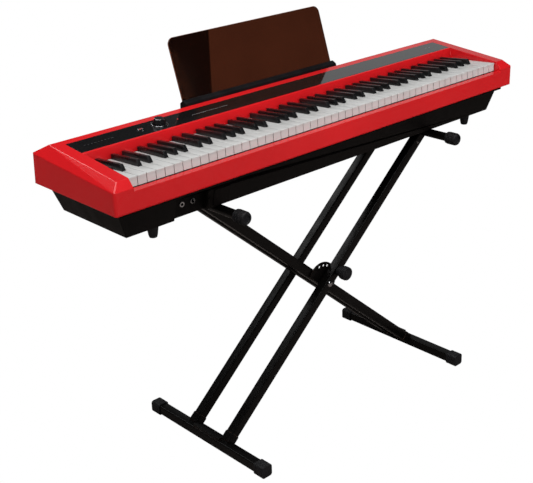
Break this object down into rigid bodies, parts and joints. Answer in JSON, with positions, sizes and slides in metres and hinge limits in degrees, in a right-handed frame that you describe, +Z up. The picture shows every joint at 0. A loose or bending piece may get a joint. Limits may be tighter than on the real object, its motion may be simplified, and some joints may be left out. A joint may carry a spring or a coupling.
{
  "type": "digital piano on stand",
  "caption": "Full-size digital piano with a lacquered case, weighted keyboard and clear music rest, standing on a folding double-braced X stand.",
  "frame": {"origin": "on the floor, midway along the piano's length and midway between the ends of the foot bars", "axes": "+X to the player's right along the keyboard, +Y away from the player, +Z up"},
  "size_m": [1.324, 0.432, 0.9758],
  "materials": {
    "red_lacquer": "satin-gloss lacquer",
    "black_plastic": "fine moulded texture",
    "gloss_black": "polished",
    "smoked_acrylic": "polished, smoked brown",
    "key_white": "satin",
    "key_black": "satin matt",
    "black_rubber": "ribbed matt",
    "black_steel": "satin powder coat",
    "bright_steel": "zinc plated",
    "circuit_board": "solder resist",
    "lamp_red": "clear tinted"
  },
  "bodies": {
    "stand_outer": {"outer_tube_front": "black_steel", "outer_tube_back": "black_steel", "left_foot_bar": "black_steel", "left_foot_bar_cap_front": "black_rubber", "left_foot_bar_cap_back": "black_rubber", "right_arm": "black_steel", "right_arm_cap_front": "black_rubber", "right_arm_cap_back": "black_rubber", "pivot_bolt_front": "bright_steel", "pivot_bolt_back": "bright_steel"},
    "stand_inner": {"inner_tube_front": "black_steel", "inner_tube_back": "black_steel", "right_foot_bar": "black_steel", "right_foot_bar_cap_front": "black_rubber", "right_foot_bar_cap_back": "black_rubber", "left_arm": "black_steel", "left_arm_cap_front": "black_rubber", "left_arm_cap_back": "black_rubber", "locking_disc": "black_steel"},
    "locking_knob": {"locking_knob": "black_rubber"},
    "piano": {"control_panel": "gloss_black", "headphone_jack_left": "bright_steel", "headphone_jack_right": "bright_steel", "key_frame": "bright_steel", "key_pivot_rod": "bright_steel", "lower_case": "black_plastic", "main_board": "circuit_board", "pedal_jack": "black_plastic", "power_inlet": "black_plastic", "rest_holder": "black_plastic", "rubber_foot_back_left": "black_rubber", "rubber_foot_back_right": "black_rubber", "rubber_foot_front_left": "black_rubber", "rubber_foot_front_right": "black_rubber", "sensor_board": "circuit_board", "speaker_left": "black_plastic", "speaker_right": "black_plastic", "status_led": "lamp_red", "upper_case": "red_lacquer", "usb_port": "black_plastic", "volume_pot": "bright_steel"},
    "music_rest": {"music_rest": "smoked_acrylic"},
    "volume_knob": {"volume_knob": "gloss_black"},
    "power_button": {"power_button": "bright_steel"},
    "key_c4": {"key_c4": "key_white"},
    "key_cs4": {"key_cs4": "key_black"},
    "key_d4": {"key_d4": "key_white"},
    "key_ds4": {"key_ds4": "key_black"},
    "key_e4": {"key_e4": "key_white"},
    "key_f4": {"key_f4": "key_white"},
    "key_fs4": {"key_fs4": "key_black"},
    "key_g4": {"key_g4": "key_white"},
    "key_gs4": {"key_gs4": "key_black"},
    "key_a4": {"key_a4": "key_white"},
    "key_as4": {"key_as4": "key_black"},
    "key_b4": {"key_b4": "key_white"},
    "white_keys_bass": {"white_keys_bass": "key_white"},
    "white_keys_treble": {"white_keys_treble": "key_white"},
    "black_keys_bass": {"black_keys_bass": "key_black"},
    "black_keys_treble": {"black_keys_treble": "key_black"}
  },
  "joints": [
    {"name": "stand_fold", "type": "hinge", "parent": "stand_outer", "child": "stand_inner", "pos_m": [0.008, 0, 0.33535], "axis": [0, 1, 0], "range_deg": [0, 92]},
    {"name": "piano_lift", "type": "slide", "parent": "stand_outer", "child": "piano", "axis": [0, 0, 1], "range_m": [0, 0.7]},
    {"name": "lock_pull", "type": "slide", "parent": "stand_outer", "child": "locking_knob", "axis": [0, -1, 0], "range_m": [0, 0.008], "stiffness_N_per_m": 900, "springref_m": -0.006},
    {"name": "music_rest_lift", "type": "slide", "parent": "piano", "child": "music_rest", "axis": [0, 0.3007, 0.9537], "range_m": [0, 0.05]},
    {"name": "volume_turn", "type": "hinge", "parent": "piano", "child": "volume_knob", "pos_m": [-0.386, 0.06825, 0.82352], "axis": [0, -0.1015, 0.9948], "range_deg": [-150, 150]},
    {"name": "power_press", "type": "slide", "parent": "piano", "child": "power_button", "axis": [0, 0.1015, -0.9948], "range_m": [0, 0.0012], "stiffness_N_per_m": 400, "springref_m": -0.002},
    {"name": "key_c4_press", "type": "hinge", "parent": "piano", "child": "key_c4", "pos_m": [0, 0.094, 0.783], "axis": [1, 0, 0], "range_deg": [0, 2.7], "stiffness_Nm_per_rad": 1.2, "springref_deg": -7.45},
    {"name": "key_cs4_press", "type": "hinge", "parent": "piano", "child": "key_cs4", "pos_m": [0, 0.094, 0.783], "axis": [1, 0, 0], "range_deg": [0, 2.7], "stiffness_Nm_per_rad": 0.8, "springref_deg": -7.45},
    {"name": "key_d4_press", "type": "hinge", "parent": "piano", "child": "key_d4", "pos_m": [0, 0.094, 0.783], "axis": [1, 0, 0], "range_deg": [0, 2.7], "stiffness_Nm_per_rad": 1.2, "springref_deg": -7.45},
    {"name": "key_ds4_press", "type": "hinge", "parent": "piano", "child": "key_ds4", "pos_m": [0, 0.094, 0.783], "axis": [1, 0, 0], "range_deg": [0, 2.7], "stiffness_Nm_per_rad": 0.8, "springref_deg": -7.45},
    {"name": "key_e4_press", "type": "hinge", "parent": "piano", "child": "key_e4", "pos_m": [0, 0.094, 0.783], "axis": [1, 0, 0], "range_deg": [0, 2.7], "stiffness_Nm_per_rad": 1.2, "springref_deg": -7.45},
    {"name": "key_f4_press", "type": "hinge", "parent": "piano", "child": "key_f4", "pos_m": [0, 0.094, 0.783], "axis": [1, 0, 0], "range_deg": [0, 2.7], "stiffness_Nm_per_rad": 1.2, "springref_deg": -7.45},
    {"name": "key_fs4_press", "type": "hinge", "parent": "piano", "child": "key_fs4", "pos_m": [0, 0.094, 0.783], "axis": [1, 0, 0], "range_deg": [0, 2.7], "stiffness_Nm_per_rad": 0.8, "springref_deg": -7.45},
    {"name": "key_g4_press", "type": "hinge", "parent": "piano", "child": "key_g4", "pos_m": [0, 0.094, 0.783], "axis": [1, 0, 0], "range_deg": [0, 2.7], "stiffness_Nm_per_rad": 1.2, "springref_deg": -7.45},
    {"name": "key_gs4_press", "type": "hinge", "parent": "piano", "child": "key_gs4", "pos_m": [0, 0.094, 0.783], "axis": [1, 0, 0], "range_deg": [0, 2.7], "stiffness_Nm_per_rad": 0.8, "springref_deg": -7.45},
    {"name": "key_a4_press", "type": "hinge", "parent": "piano", "child": "key_a4", "pos_m": [0, 0.094, 0.783], "axis": [1, 0, 0], "range_deg": [0, 2.7], "stiffness_Nm_per_rad": 1.2, "springref_deg": -7.45},
    {"name": "key_as4_press", "type": "hinge", "parent": "piano", "child": "key_as4", "pos_m": [0, 0.094, 0.783], "axis": [1, 0, 0], "range_deg": [0, 2.7], "stiffness_Nm_per_rad": 0.8, "springref_deg": -7.45},
    {"name": "key_b4_press", "type": "hinge", "parent": "piano", "child": "key_b4", "pos_m": [0, 0.094, 0.783], "axis": [1, 0, 0], "range_deg": [0, 2.7], "stiffness_Nm_per_rad": 1.2, "springref_deg": -7.45},
    {"name": "white_keys_bass_press", "type": "hinge", "parent": "piano", "child": "white_keys_bass", "pos_m": [0, 0.094, 0.783], "axis": [1, 0, 0], "range_deg": [0, 2.7], "stiffness_Nm_per_rad": 27.6, "springref_deg": -7.45},
    {"name": "white_keys_treble_press", "type": "hinge", "parent": "piano", "child": "white_keys_treble", "pos_m": [0, 0.094, 0.783], "axis": [1, 0, 0], "range_deg": [0, 2.7], "stiffness_Nm_per_rad": 26.4, "springref_deg": -7.45},
    {"name": "black_keys_bass_press", "type": "hinge", "parent": "piano", "child": "black_keys_bass", "pos_m": [0, 0.094, 0.783], "axis": [1, 0, 0], "range_deg": [0, 2.7], "stiffness_Nm_per_rad": 12.8, "springref_deg": -7.45},
    {"name": "black_keys_treble_press", "type": "hinge", "parent": "piano", "child": "black_keys_treble", "pos_m": [0, 0.094, 0.783], "axis": [1, 0, 0], "range_deg": [0, 2.7], "stiffness_Nm_per_rad": 12, "springref_deg": -7.45}
  ],
  "couplings": [
    {"joint": "piano_lift", "follows": "stand_fold", "m_per_rad": 0.42}
  ]
}
